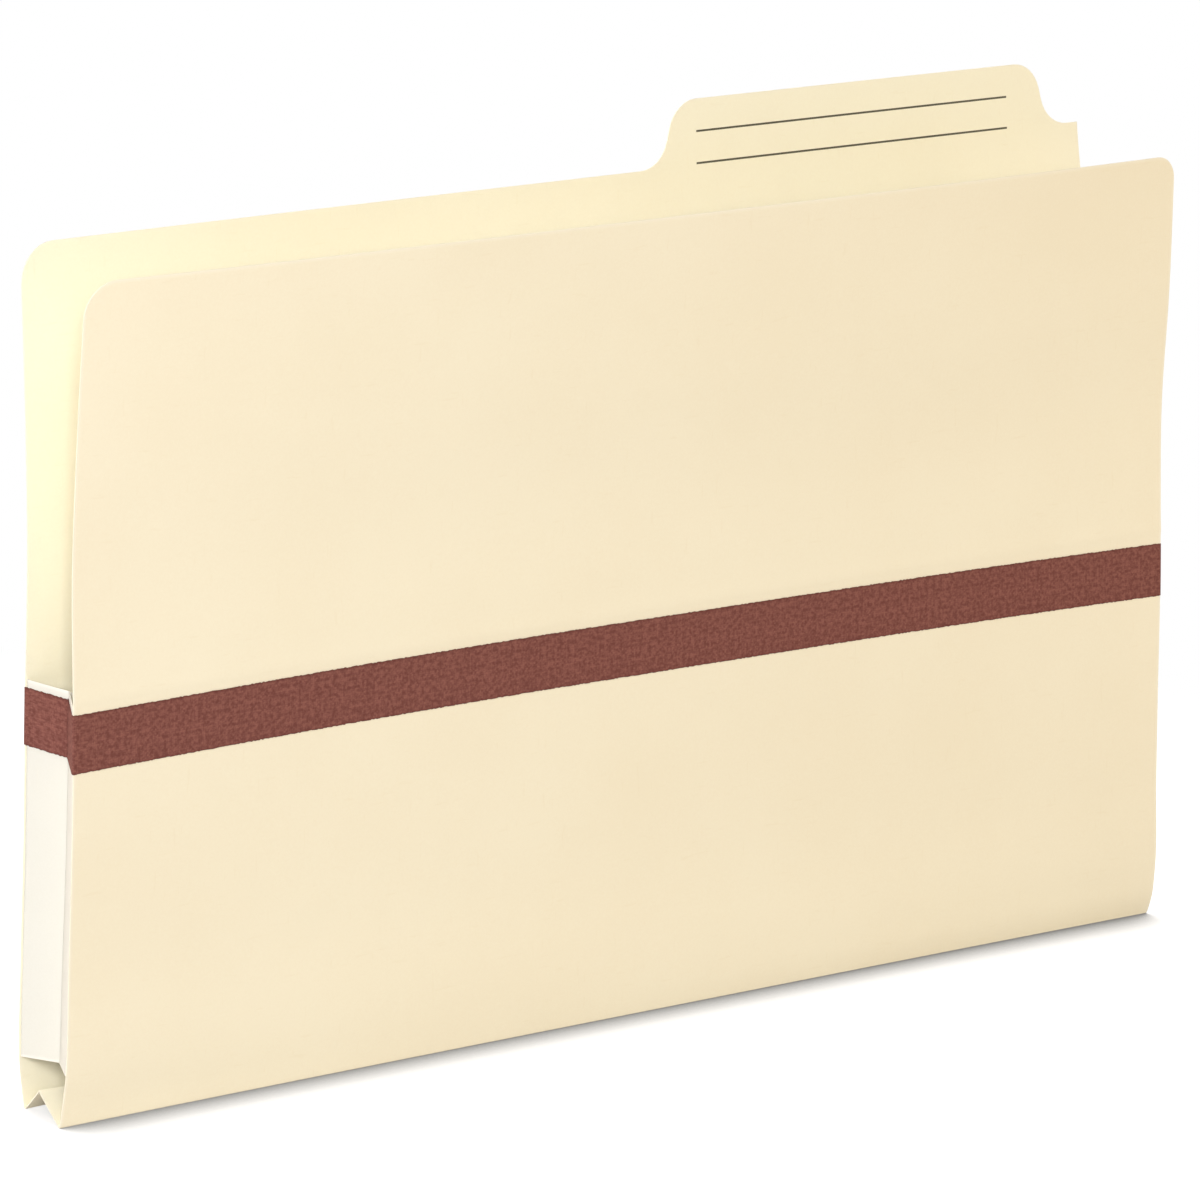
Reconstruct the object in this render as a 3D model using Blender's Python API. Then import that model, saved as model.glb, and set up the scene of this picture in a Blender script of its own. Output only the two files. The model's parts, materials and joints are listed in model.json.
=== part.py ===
"""Expanding file pocket: a manila sheet folded into a back, a pleated bottom and a front,
closed at both ends by pleated gussets and bound round with a woven tape.

Every crease of the real sheet is a hinge line here, so each flat between two creases is its own
thin plate. Units are metres, +Z is up, the front faces -Y, and the pocket stands on Z = 0.
"""

import math

import bmesh
import bpy

MM = 0.001

# Sheet stock
SHEET = 0.30 * MM
TAPE_THICKNESS = 0.30 * MM

# Overall sizes. Flap lengths run along the sheet from the bend line.
POCKET_WIDTH = 374.65 * MM
FRONT_FLAP_LENGTH = 106.0 * MM
BACK_FLAP_LENGTH = 111.0 * MM
FRONT_CORNER_RADIUS = 9.0 * MM
BACK_CORNER_RADIUS = 9.5 * MM

# Filing tab on the back flap, measured at half its rise
TAB_RISE = 18.0 * MM
TAB_WIDTH = 142.0 * MM
TAB_FROM_RIGHT_EDGE = 14.5 * MM
TAB_CURVE_RADIUS = 10.0 * MM
TAB_EDGE_ANGLE = math.radians(75.0)

# Band of tape, and the bend line that the free flaps flex on
TAPE_WIDTH = 15.0 * MM
TAPE_TOP = 109.5 * MM
GUSSET_ABOVE_TAPE = 2.0 * MM
BEND_ABOVE_TAPE = 3.5 * MM

# Pleats. The pitch runs from one crease axis to the next.
LEAF_PITCH = 11.4 * MM
LEAF_ANGLE = math.radians(58.3)
FLANGE_WIDTH = 12.0 * MM
GUSSET_ABOVE_RIDGE = 2.3 * MM

# Lean of the free flaps, away from each other
FRONT_LEAN = math.radians(3.0)
BACK_LEAN = math.radians(5.5)

# Clearances. The crease gap keeps two leaves of a pleat apart while the pocket folds.
GLUE_GAP = 0.15 * MM
FOLD_GAP = 0.05 * MM
BEND_GAP = 0.15 * MM
CREASE_GAP = 0.5 * MM
EDGE_INSET = 0.5 * MM
BASE_CLEARANCE = 0.3 * MM

ARC_STEPS = 8

# Distances from a crease axis to the inner faces of the layers stacked behind it. The axis lies
# where the tapes on two facing leaves would meet when the pleat is shut.
TAPE_OFFSET = FOLD_GAP
LEAF_OFFSET = TAPE_OFFSET + TAPE_THICKNESS + GLUE_GAP
FLANGE_OFFSET = LEAF_OFFSET + SHEET + GLUE_GAP
PANEL_OFFSET = FLANGE_OFFSET + SHEET + GLUE_GAP
BOTTOM_LEAF_OFFSET = PANEL_OFFSET - GLUE_GAP - SHEET
PANEL_TAPE_OFFSET = PANEL_OFFSET + SHEET + GLUE_GAP

# Places of the crease axes
HALF_WIDTH = POCKET_WIDTH / 2
AXIS_X = HALF_WIDTH - EDGE_INSET
AXIS_Y = LEAF_PITCH * math.sin(LEAF_ANGLE)
BEND_HEIGHT = TAPE_TOP + BEND_ABOVE_TAPE
TAPE_BOTTOM = TAPE_TOP - TAPE_WIDTH
GUSSET_TOP = TAPE_TOP + GUSSET_ABOVE_TAPE
GUSSET_BOTTOM = BASE_CLEARANCE + LEAF_PITCH + GUSSET_ABOVE_RIDGE
PANEL_MIDDLE_Y = AXIS_Y + PANEL_OFFSET + SHEET / 2

# The pocket's middle plane is set so that the leaning flaps end equally far from Y = 0
FRONT_REACH = PANEL_MIDDLE_Y + FRONT_FLAP_LENGTH * math.sin(FRONT_LEAN) + SHEET / 2 * math.cos(FRONT_LEAN)
BACK_REACH = (PANEL_MIDDLE_Y + (BACK_FLAP_LENGTH + TAB_RISE) * math.sin(BACK_LEAN)
              + SHEET / 2 * math.cos(BACK_LEAN))
MIDDLE_Y = (FRONT_REACH - BACK_REACH) / 2


def clear_scene():
    for old in list(bpy.data.objects):
        bpy.data.objects.remove(old, do_unlink=True)


def make_collection(name):
    collection = bpy.data.collections.new(name)
    bpy.context.scene.collection.children.link(collection)
    return collection


def make_material(name, colour, roughness):
    material = bpy.data.materials.new(name)
    material.use_nodes = True
    shader = material.node_tree.nodes["Principled BSDF"]
    shader.inputs["Base Color"].default_value = (*colour, 1.0)
    shader.inputs["Roughness"].default_value = roughness
    shader.inputs["Metallic"].default_value = 0.0
    return material


clear_scene()
POCKET = make_collection("expanding_file_pocket")
MANILA = make_material("manila_card", (0.90, 0.79, 0.58), 0.75)
GUSSET_PAPER = make_material("gusset_paper", (0.93, 0.88, 0.76), 0.80)
WOVEN_TAPE = make_material("woven_tape", (0.262, 0.087, 0.072), 0.90)


def make_axis(name, parent, location, rotation=(0.0, 0.0, 0.0)):
    """An empty on a crease line, which carries the flats that turn about that crease."""
    axis = bpy.data.objects.new(name, None)
    axis.parent = parent
    axis.location = location
    axis.rotation_euler = rotation
    POCKET.objects.link(axis)
    return axis


def make_plate(name, parent, material, x_span, y_span, z_span):
    """A flat of sheet between two creases, given by its spans in its parent's frame."""
    spans = (x_span, y_span, z_span)
    sizes = [max(span) - min(span) for span in spans]
    middle = [(max(span) + min(span)) / 2 for span in spans]
    shape = bmesh.new()
    bmesh.ops.create_cube(shape, size=1.0)
    bmesh.ops.scale(shape, vec=sizes, verts=shape.verts)
    bmesh.ops.translate(shape, vec=middle, verts=shape.verts)
    mesh = bpy.data.meshes.new(name)
    shape.to_mesh(mesh)
    shape.free()
    mesh.materials.append(material)
    plate = bpy.data.objects.new(name, mesh)
    plate.parent = parent
    POCKET.objects.link(plate)
    return plate


def layer(offset, thickness, side):
    """The span of a layer that starts at an offset from the crease axis, on one side of it."""
    return (side * offset, side * (offset + thickness))


def arc(centre, radius, start, end):
    """Points on an arc between two angles, both ends included."""
    angles = [start + (end - start) * step / ARC_STEPS for step in range(ARC_STEPS + 1)]
    return [(centre[0] + radius * math.cos(a), centre[1] + radius * math.sin(a)) for a in angles]


def tab_shoulder(middle_x, foot):
    """The S-shaped left edge of the tab, from the flap's top edge up to the tab's top edge."""
    radius = min(TAB_CURVE_RADIUS, TAB_RISE / (2 * (1 - math.cos(TAB_EDGE_ANGLE))))
    straight = (TAB_RISE - 2 * radius * (1 - math.cos(TAB_EDGE_ANGLE))) / math.sin(TAB_EDGE_ANGLE)
    half_run = radius * math.sin(TAB_EDGE_ANGLE) + straight * math.cos(TAB_EDGE_ANGLE) / 2
    quarter = math.pi / 2
    low = arc((middle_x - half_run, foot + radius), radius, -quarter, TAB_EDGE_ANGLE - quarter)
    high = arc((middle_x + half_run, foot + TAB_RISE - radius), radius, quarter + TAB_EDGE_ANGLE, quarter)
    return low + high


def make_flap(name, parent, location, lean, outline):
    """A free flap cut to an outline, standing on the bend line and leaning by an angle."""
    curve = bpy.data.curves.new(name, "CURVE")
    curve.dimensions = "2D"
    curve.fill_mode = "BOTH"
    curve.extrude = SHEET / 2
    spline = curve.splines.new("POLY")
    spline.points.add(len(outline) - 1)
    for point, place in zip(spline.points, outline):
        point.co = (place[0], place[1], 0.0, 1.0)
    spline.use_cyclic_u = True
    curve.materials.append(MANILA)
    flap = bpy.data.objects.new(name, curve)
    flap.parent = parent
    flap.location = location
    flap.rotation_euler = (math.pi / 2 + lean, 0.0, 0.0)
    POCKET.objects.link(flap)
    return flap


def front_outline():
    corner = FRONT_CORNER_RADIUS
    right = arc((HALF_WIDTH - corner, FRONT_FLAP_LENGTH - corner), corner, 0.0, math.pi / 2)
    left = [(-x, y) for x, y in reversed(right)]
    return [(-HALF_WIDTH, BEND_GAP), (HALF_WIDTH, BEND_GAP)] + right + left


def back_outline():
    """The back flap, with one rounded corner and the tab cut close to its square right corner."""
    corner = BACK_CORNER_RADIUS
    left = arc((-HALF_WIDTH + corner, BACK_FLAP_LENGTH - corner), corner, math.pi / 2, math.pi)
    tab_right = HALF_WIDTH - TAB_FROM_RIGHT_EDGE
    rising = tab_shoulder(tab_right - TAB_WIDTH, BACK_FLAP_LENGTH)
    falling = [(2 * tab_right - x, y) for x, y in reversed(tab_shoulder(tab_right, BACK_FLAP_LENGTH))]
    foot = [(-HALF_WIDTH, BEND_GAP), (HALF_WIDTH, BEND_GAP), (HALF_WIDTH, BACK_FLAP_LENGTH)]
    return foot + list(reversed(falling)) + list(reversed(rising)) + left


def make_panel(name, leaf_name, frame, side):
    """A lower panel with its band of tape and the two gusset flanges glued inside it.

    The frame's origin is on the panel's crease axes; side is the sign of Y from there to the panel.
    """
    full = (-HALF_WIDTH, HALF_WIDTH)
    make_plate(f"{name}_panel", frame, MANILA, full, layer(PANEL_OFFSET, SHEET, side),
               (0.0, BEND_HEIGHT - BEND_GAP))
    make_plate(f"tape_{name}", frame, WOVEN_TAPE, full, layer(PANEL_TAPE_OFFSET, TAPE_THICKNESS, side),
               (TAPE_BOTTOM, TAPE_TOP))
    for end, outer_x in (("left", -AXIS_X), ("right", AXIS_X)):
        inner_x = outer_x - math.copysign(FLANGE_WIDTH, outer_x)
        make_plate(f"{end}_gusset_{leaf_name}_flange", frame, GUSSET_PAPER, (outer_x, inner_x),
                   layer(FLANGE_OFFSET, SHEET, side), (GUSSET_BOTTOM, GUSSET_TOP))


def make_gusset_leaf(end, leaf_name, frame, axis_x, turn, side):
    """One leaf of a gusset's pleat on its own axis, with the piece of tape that crosses it.

    The leaf runs along its axis frame's +X; side is the sign of Y from the axis to the leaf.
    """
    axis = make_axis(f"{end}_{leaf_name}_axis", frame, (axis_x, 0.0, 0.0), (0.0, 0.0, turn))
    run = (0.0, LEAF_PITCH - CREASE_GAP)
    make_plate(f"{end}_gusset_{leaf_name}_leaf", axis, GUSSET_PAPER, run, layer(LEAF_OFFSET, SHEET, side),
               (GUSSET_BOTTOM, GUSSET_TOP))
    make_plate(f"tape_{end}_{leaf_name}", axis, WOVEN_TAPE, run, layer(TAPE_OFFSET, TAPE_THICKNESS, side),
               (TAPE_BOTTOM, TAPE_TOP))


def make_bottom_leaf(leaf_name, frame, turn, side):
    """One leaf of the bottom's pleat on its own axis, which folds up inside the pocket."""
    axis = make_axis(f"bottom_{leaf_name}_axis", frame, (0.0, 0.0, BASE_CLEARANCE), (turn, 0.0, 0.0))
    make_plate(f"bottom_{leaf_name}_leaf", axis, MANILA, (-HALF_WIDTH, HALF_WIDTH),
               layer(BOTTOM_LEAF_OFFSET, SHEET, side), (0.0, LEAF_PITCH - CREASE_GAP))


# Back of the pocket: the panel that carries everything else, its flap and its leaves of the pleats
pocket_frame = make_axis("pocket_frame", None, (0.0, MIDDLE_Y, 0.0))
back_frame = make_axis("back_frame", pocket_frame, (0.0, AXIS_Y, 0.0))
bend_offset = PANEL_MIDDLE_Y - AXIS_Y
make_panel("back", "rear", back_frame, 1.0)
make_flap("back_flap", back_frame, (0.0, bend_offset, BEND_HEIGHT), -BACK_LEAN, back_outline())
make_gusset_leaf("left", "rear", back_frame, -AXIS_X, -LEAF_ANGLE, 1.0)
make_gusset_leaf("right", "rear", back_frame, AXIS_X, math.pi + LEAF_ANGLE, -1.0)
make_bottom_leaf("rear", back_frame, LEAF_ANGLE, 1.0)

# Front of the pocket, which moves to and from the back as the pleats fold
front_frame = make_axis("front_frame", back_frame, (0.0, -2 * AXIS_Y, 0.0))
make_panel("front", "front", front_frame, -1.0)
make_flap("front_flap", front_frame, (0.0, -bend_offset, BEND_HEIGHT), FRONT_LEAN, front_outline())
make_gusset_leaf("left", "front", front_frame, -AXIS_X, LEAF_ANGLE, -1.0)
make_gusset_leaf("right", "front", front_frame, AXIS_X, math.pi - LEAF_ANGLE, 1.0)
make_bottom_leaf("front", front_frame, -LEAF_ANGLE, -1.0)
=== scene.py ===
# %% [markdown]
# # An expanding file pocket of manila card
# The pocket is one folded sheet of manila card, two pleated strips of paper that close its ends,
# and a band of woven tape. Everything here is thin, so the lesson is about sheets: how a few
# measured heights and depths turn into a curved card, and how cards, paper and tape meet at folds.
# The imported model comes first, because it says where the folds are and what moves.

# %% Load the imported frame
import json
import math

import bpy
import numpy as np
from mathutils import Matrix, Vector

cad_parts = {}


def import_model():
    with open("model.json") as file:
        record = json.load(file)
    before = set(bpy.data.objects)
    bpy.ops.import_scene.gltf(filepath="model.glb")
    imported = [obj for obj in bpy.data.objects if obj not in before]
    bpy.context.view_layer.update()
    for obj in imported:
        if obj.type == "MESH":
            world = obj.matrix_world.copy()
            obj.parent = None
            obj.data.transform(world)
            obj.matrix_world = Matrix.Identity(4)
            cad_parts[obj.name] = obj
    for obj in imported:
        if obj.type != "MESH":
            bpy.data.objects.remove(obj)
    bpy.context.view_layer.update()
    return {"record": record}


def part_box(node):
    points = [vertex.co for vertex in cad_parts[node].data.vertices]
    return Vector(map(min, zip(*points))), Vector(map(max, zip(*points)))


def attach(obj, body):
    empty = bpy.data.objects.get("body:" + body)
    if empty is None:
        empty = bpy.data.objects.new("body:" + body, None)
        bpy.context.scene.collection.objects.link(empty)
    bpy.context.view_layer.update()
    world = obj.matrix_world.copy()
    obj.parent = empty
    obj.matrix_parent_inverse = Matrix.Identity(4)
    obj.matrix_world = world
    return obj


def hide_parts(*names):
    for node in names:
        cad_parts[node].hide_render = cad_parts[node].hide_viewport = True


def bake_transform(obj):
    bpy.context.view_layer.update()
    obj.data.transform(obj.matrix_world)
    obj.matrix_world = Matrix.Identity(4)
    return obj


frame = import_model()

MM = 0.001
JOINTS = {joint["name"]: joint for joint in frame["record"]["behaviour"]["joints"]}

# %% [markdown]
# ## Places taken from the frame
# Heights and depths are worked in millimetres from the pocket's middle plane, because that is how
# they were measured. The frame gives the plane, the bend line of the flaps, the ends of the card,
# the band's two edges and the gussets' heights, so the looks stay on the mechanism.

# %% Read the folds' places
def height_span(node):
    """The lowest and highest point of a CAD node, in millimetres."""
    low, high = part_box(node)
    return low[2] / MM, high[2] / MM


MIDDLE_Y = (JOINTS["left_rear_fold"]["pos_m"][1] + JOINTS["left_front_fold"]["pos_m"][1]) / 2
BEND_Z = JOINTS["front_flap_bend"]["pos_m"][2] / MM
HALF_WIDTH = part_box("front_panel")[1][0] / MM
TAPE_LOW, TAPE_TOP = height_span("tape_front")
GUSSET_LOW, GUSSET_TOP = height_span("left_gusset_rear_leaf")
FRONT_TOP = height_span("front_flap")[1]
TAB_TOP = height_span("back_flap")[1]

CARD = 0.30
PAPER = 0.22
TAPE = 0.24
GLUE = 0.04
print(f"card {2 * HALF_WIDTH:.1f} mm wide, bend line at {BEND_Z:.1f} mm,",
      f"band {TAPE_LOW:.1f} to {TAPE_TOP:.1f} mm")


def world(x, depth, z):
    """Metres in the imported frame, from millimetres measured from the pocket's middle plane."""
    return np.stack(np.broadcast_arrays(x * MM, depth * MM + MIDDLE_Y, z * MM), axis=-1)


# %% [markdown]
# ## Camera, light and floor
# The camera stands to the left and a little above, with a long lens, as for a catalogue picture.
# Its place is an orbit round a point near the middle of the pocket. One large soft lamp stands
# close to the camera. A weak one behind on the left lights the gusset leaf that faces away, a weak
# warm one fills the right, a cool one stands behind, and the rest is even light from all round.

# %% Camera
IMAGE_SIDE = 1200
FOCAL_PIXELS = 6615
SENSOR_WIDTH = 36.0
ORBIT_AZIMUTH = -39.42
ORBIT_ELEVATION = 13.37
ORBIT_RADIUS = 1765.7
CAMERA_ROLL = math.radians(2.08)
TARGET = Vector(world(-9.6, 0.0, 114.0))


def direction(azimuth, elevation):
    """The way out from the pocket, in degrees round from the front and degrees up."""
    turn, rise = math.radians(azimuth), math.radians(elevation)
    level = math.cos(rise)
    return Vector((math.sin(turn) * level, -math.cos(turn) * level, math.sin(rise)))


def looking_back(away, distance):
    """The placing of something that looks back at the pocket."""
    turned = away.to_track_quat("Z", "Y").to_matrix().to_4x4()
    return Matrix.Translation(TARGET + away * distance) @ turned


def add_object(name, data):
    """A new object in the scene."""
    made = bpy.data.objects.new(name, data)
    bpy.context.scene.collection.objects.link(made)
    return made


camera_data = bpy.data.cameras.new("catalogue_camera")
camera_data.sensor_width = SENSOR_WIDTH
camera_data.lens = FOCAL_PIXELS / IMAGE_SIDE * SENSOR_WIDTH
camera = add_object("catalogue_camera", camera_data)
stand = looking_back(direction(ORBIT_AZIMUTH, ORBIT_ELEVATION), ORBIT_RADIUS * MM)
camera.matrix_world = stand @ Matrix.Rotation(CAMERA_ROLL, 4, "Z")
bpy.context.scene.camera = camera
print(f"camera lens {camera_data.lens:.0f} mm at {[round(c, 3) for c in camera.location]}")


# %% Node helpers
def feed(node, sockets):
    """Link a node's inputs, or set their own values. A node given stands for its first output."""
    for key, source in sockets.items():
        if isinstance(source, bpy.types.Node):
            source = source.outputs[0]
        if isinstance(source, bpy.types.NodeSocket):
            node.id_data.links.new(source, node.inputs[key])
        else:
            node.inputs[key].default_value = source


def add_node(tree, kind, sockets=None, **settings):
    """A node with its settings made, and then its inputs fed."""
    made = tree.nodes.new(kind)
    for name, value in settings.items():
        setattr(made, name, value)
    feed(made, sockets or {})
    return made


def calculate(tree, operation, *terms):
    """A Math node fed with sockets or numbers."""
    return add_node(tree, "ShaderNodeMath", dict(enumerate(terms)), operation=operation).outputs[0]


def multiply(tree, first, second):
    return calculate(tree, "MULTIPLY", first, second)


def blend_colours(tree, share, first, second):
    """A Mix node for colours."""
    sockets = {0: share, 6: first, 7: second}
    return add_node(tree, "ShaderNodeMix", sockets, data_type="RGBA").outputs[2]


def map_range(tree, value, low, high, to_low=0.0, to_high=1.0, kind="LINEAR"):
    """A Map Range node, which stretches one range of a value to another."""
    sockets = {"Value": value, "From Min": low, "From Max": high,
               "To Min": to_low, "To Max": to_high}
    return add_node(tree, "ShaderNodeMapRange", sockets, interpolation_type=kind).outputs["Result"]


def narrow(tree, value, low, high):
    """Stretch a part of a value's range smoothly to 0..1."""
    return map_range(tree, value, low, high, kind="SMOOTHSTEP")


def seen_straight(tree):
    """1 where the camera sees a thing straight or by a mirror or glass, and 0 for its light."""
    rays = add_node(tree, "ShaderNodeLightPath").outputs
    seen = calculate(tree, "MAXIMUM", rays["Is Camera Ray"], rays["Is Glossy Ray"])
    return calculate(tree, "MAXIMUM", seen, rays["Is Transmission Ray"])


def new_material(name):
    """A material, its node tree and its Principled shader."""
    material = bpy.data.materials.new(name)
    material.use_nodes = True
    return material, material.node_tree, material.node_tree.nodes["Principled BSDF"]


def new_group(kind, name, inputs, outputs):
    """A node group with named sockets, the values given to it, and its outlet."""
    tree = bpy.data.node_groups.new(name, kind)
    for in_out, sockets in (("INPUT", inputs), ("OUTPUT", outputs)):
        for label, value in sockets.items():
            tree.interface.new_socket(label, in_out=in_out, socket_type=f"NodeSocket{value}")
    return tree, add_node(tree, "NodeGroupInput").outputs, add_node(tree, "NodeGroupOutput")


# %% Soft studio light
AMBIENT_LEVEL = 0.20
WHITE = (1.0, 1.0, 1.0, 1.0)
# Each lamp: degrees round from the front, degrees up, metres away, side in metres, watts, colour.
LAMPS = {
    "main_lamp": (-44.0, 22.0, 2.6, 1.1, 58.5, (1.0, 0.985, 0.975)),
    "left_lamp": (-150.0, 12.0, 1.0, 0.5, 6.5, (1.0, 0.90, 0.82)),
    "warm_fill_lamp": (50.0, 22.0, 0.9, 0.6, 1.2, (1.0, 0.64, 0.12)),
    "back_lamp": (165.0, 40.0, 1.3, 0.8, 8.5, (0.94, 0.95, 1.0)),
}
for name, (azimuth, elevation, distance, side, power, colour) in LAMPS.items():
    lamp_data = bpy.data.lights.new(name, "AREA")
    lamp_data.size = side
    lamp_data.energy = power
    lamp_data.color = colour
    lamp = add_object(name, lamp_data)
    lamp.matrix_world = looking_back(direction(azimuth, elevation), distance)

world_light = bpy.data.worlds.new("even_light")
world_light.use_nodes = True
sky = world_light.node_tree
sky.nodes.clear()
ambient = add_node(sky, "ShaderNodeBackground", {"Color": WHITE, "Strength": AMBIENT_LEVEL})
backdrop = add_node(sky, "ShaderNodeBackground", {"Color": WHITE, "Strength": 1.0})
choose = add_node(sky, "ShaderNodeMixShader", {0: seen_straight(sky), 1: ambient, 2: backdrop})
add_node(sky, "ShaderNodeOutputWorld", {"Surface": choose})
bpy.context.scene.world = world_light
bpy.context.scene.view_settings.view_transform = "Standard"
print("lamps:", ", ".join(LAMPS))

# %% [markdown]
# The floor is a pale disc. Seen straight by the camera it is lifted to white and fades into the
# white backdrop further out. Close to the pocket it keeps a dark, narrow contact shadow: the shade
# comes from how much of the space towards the pocket is closed in within two centimetres. It is
# lightened between the two bottom folds, where pale card all round throws light on the floor.

# %% Floor
FLOOR_RADIUS = 3.0
FLOOR_SIDES = 96
SHADOW_REACH = (0.26, 0.42)
FLOOR_PAINT = 0.50
BOUNCE_PAINT = 0.60
FLOOR_LIFT = 0.85
CONTACT_REACH = 0.020
CONTACT_SAMPLES = 16
CONTACT_SIDE = Vector((0.1, 0.75, 0.65)).normalized()
CONTACT_RANGE = (0.42, 0.89)
CONTACT_DARK = 0.20
UNDER_EDGE = (-0.0128, -0.0118)
UNDER_LIGHT = 0.7


def floor_material():
    material, tree, _ = new_material("pale_floor")
    tree.nodes.clear()
    seen = seen_straight(tree)
    place = add_node(tree, "ShaderNodeTexCoord").outputs["Object"]
    far = add_node(tree, "ShaderNodeVectorMath", {0: place}, operation="LENGTH")
    fade = narrow(tree, far.outputs["Value"], *SHADOW_REACH)
    closed_in = add_node(tree, "ShaderNodeAmbientOcclusion",
                         {"Distance": CONTACT_REACH, "Normal": CONTACT_SIDE},
                         samples=CONTACT_SAMPLES)
    contact = map_range(tree, closed_in.outputs["AO"], *CONTACT_RANGE, to_low=CONTACT_DARK)
    depth = add_node(tree, "ShaderNodeSeparateXYZ", {0: place}).outputs["Y"]
    under = map_range(tree, depth, *UNDER_EDGE, to_low=1.0, to_high=1.0 - UNDER_LIGHT)
    shade = multiply(tree, calculate(tree, "SUBTRACT", 1.0, contact), under)
    shade = calculate(tree, "SUBTRACT", 1.0, multiply(tree, seen, shade))
    albedo = calculate(tree, "MULTIPLY_ADD", seen, FLOOR_PAINT - BOUNCE_PAINT, BOUNCE_PAINT)
    grey = multiply(tree, shade, albedo)
    tint = add_node(tree, "ShaderNodeCombineColor", {0: grey, 1: grey, 2: grey})
    paint = add_node(tree, "ShaderNodeBsdfDiffuse", {"Color": tint})
    glow = multiply(tree, multiply(tree, seen, FLOOR_LIFT), shade)
    lift = add_node(tree, "ShaderNodeEmission", {"Strength": glow})
    lifted = add_node(tree, "ShaderNodeAddShader", {0: paint, 1: lift})
    white = add_node(tree, "ShaderNodeEmission")
    surface = add_node(tree, "ShaderNodeMixShader",
                       {0: multiply(tree, seen, fade), 1: lifted, 2: white})
    add_node(tree, "ShaderNodeOutputMaterial", {"Surface": surface})
    return material


bpy.ops.mesh.primitive_circle_add(vertices=FLOOR_SIDES, radius=FLOOR_RADIUS, fill_type="NGON")
floor = bpy.context.object
floor.name = "floor"
floor.data.materials.append(floor_material())
print("floor radius", FLOOR_RADIUS, "m")

# %% [markdown]
# ## Paper finishes
# Manila card and the gussets' stronger paper are both felted fibre, so they share one node group.
# It mixes slow clouds, the fine felt of the surface and long thin fibres lying two ways, and gives
# out a tone for the colour and a height for the bump. Each paper then has its own colours. The
# card's inside is a paler copy of the manila: painted light that lifts the shade inside the pocket.

# %% Node group for felted fibre
CLOUD_SCALE = 22.0
CLOUD_SHARE = 0.55
FELT_SHARE = 0.45
FIBRE_SCALE = 900.0
FIBRE_STRETCH = 0.12
FIBRE_RANGE = (0.66, 0.76)
FIBRE_RELIEF = 0.35
LYING_TURN = math.radians(12.0)
STANDING_TURN = math.radians(-17.0)


def add_noise(tree, place, scale, detail, stretch=(1.0, 1.0, 1.0), turn=0.0):
    """A noise whose pattern is stretched along one way and turned in the sheet's own plane."""
    mapping = add_node(tree, "ShaderNodeMapping",
                       {"Vector": place, "Rotation": (0.0, turn, 0.0), "Scale": stretch})
    noise = add_node(tree, "ShaderNodeTexNoise",
                     {"Vector": mapping, "Scale": scale, "Detail": detail})
    return noise.outputs["Fac"]


def fibre_group():
    tree, given, outlet = new_group("ShaderNodeTree", "felted_fibre",
                                    {"Place": "Vector", "Felt Scale": "Float"},
                                    {"Tone": "Float", "Fibres": "Float", "Height": "Float"})
    place = given["Place"]
    cloud = add_noise(tree, place, CLOUD_SCALE, 3.0)
    felt_place = add_node(tree, "ShaderNodeVectorMath",
                          {0: place, "Scale": given["Felt Scale"]}, operation="SCALE")
    felt = add_noise(tree, felt_place, 1.0, 4.0)
    lying = add_noise(tree, place, FIBRE_SCALE, 2.0, (FIBRE_STRETCH, 1.0, 1.0), LYING_TURN)
    standing = add_noise(tree, place, FIBRE_SCALE, 2.0, (1.0, 1.0, FIBRE_STRETCH), STANDING_TURN)
    fibres = calculate(tree, "MAXIMUM", narrow(tree, lying, *FIBRE_RANGE),
                       narrow(tree, standing, *FIBRE_RANGE))
    clouds = multiply(tree, cloud, CLOUD_SHARE)
    tone = calculate(tree, "MULTIPLY_ADD", felt, FELT_SHARE, clouds)
    height = calculate(tree, "MULTIPLY_ADD", fibres, FIBRE_RELIEF, felt)
    feed(outlet, {"Tone": tone, "Fibres": fibres, "Height": height})
    return tree


FELTED_FIBRE = fibre_group()
print("node group:", FELTED_FIBRE.name)

# %% Manila card and gusset paper
PAPER_TONES = (0.3, 0.7)
FIBRE_SHOW = 0.10
EDGE_SHOW = 0.8
ROUGHNESS_SPREAD = 0.12
PAPER_SHEEN = 0.25
PAPER_RELIEF = 0.0001


def add_felt(tree, felt_scale):
    """The felted fibre on an object's own coordinates."""
    place = add_node(tree, "ShaderNodeTexCoord").outputs["Object"]
    return add_node(tree, "ShaderNodeGroup", {"Place": place, "Felt Scale": felt_scale},
                    node_tree=FELTED_FIBRE).outputs


def add_relief(tree, shader, height, strength, distance):
    """A bump on a shader."""
    sockets = {"Strength": strength, "Distance": distance, "Height": height}
    feed(shader, {"Normal": add_node(tree, "ShaderNodeBump", sockets)})


def paper_material(name, light, dark, fibre, worn_and_lit, roughness, felt_scale, bump):
    """A felted paper: light and dark tones, stray fibres, and at cut edges a paler colour that is
    fluffed fibre and a painted highlight.
    """
    material, tree, shader = new_material(name)
    felt = add_felt(tree, felt_scale)
    tone = narrow(tree, felt["Tone"], *PAPER_TONES)
    colour = blend_colours(tree, tone, (*dark, 1.0), (*light, 1.0))
    fibre_share = multiply(tree, felt["Fibres"], FIBRE_SHOW)
    colour = blend_colours(tree, fibre_share, colour, (*fibre, 1.0))
    # Paler colour at the cut edges: fluffed fibre, and a painted highlight where the edge catches
    # the light.
    edge = add_node(tree, "ShaderNodeAttribute", attribute_name="cut_edge")
    edge_share = multiply(tree, edge.outputs["Fac"], EDGE_SHOW)
    colour = blend_colours(tree, edge_share, colour, (*worn_and_lit, 1.0))
    smoothest = roughness - ROUGHNESS_SPREAD / 2
    rough = calculate(tree, "MULTIPLY_ADD", felt["Tone"], ROUGHNESS_SPREAD, smoothest)
    feed(shader, {"Base Color": colour, "Roughness": rough, "Specular IOR Level": PAPER_SHEEN})
    add_relief(tree, shader, felt["Height"], bump, PAPER_RELIEF)
    return material


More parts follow.
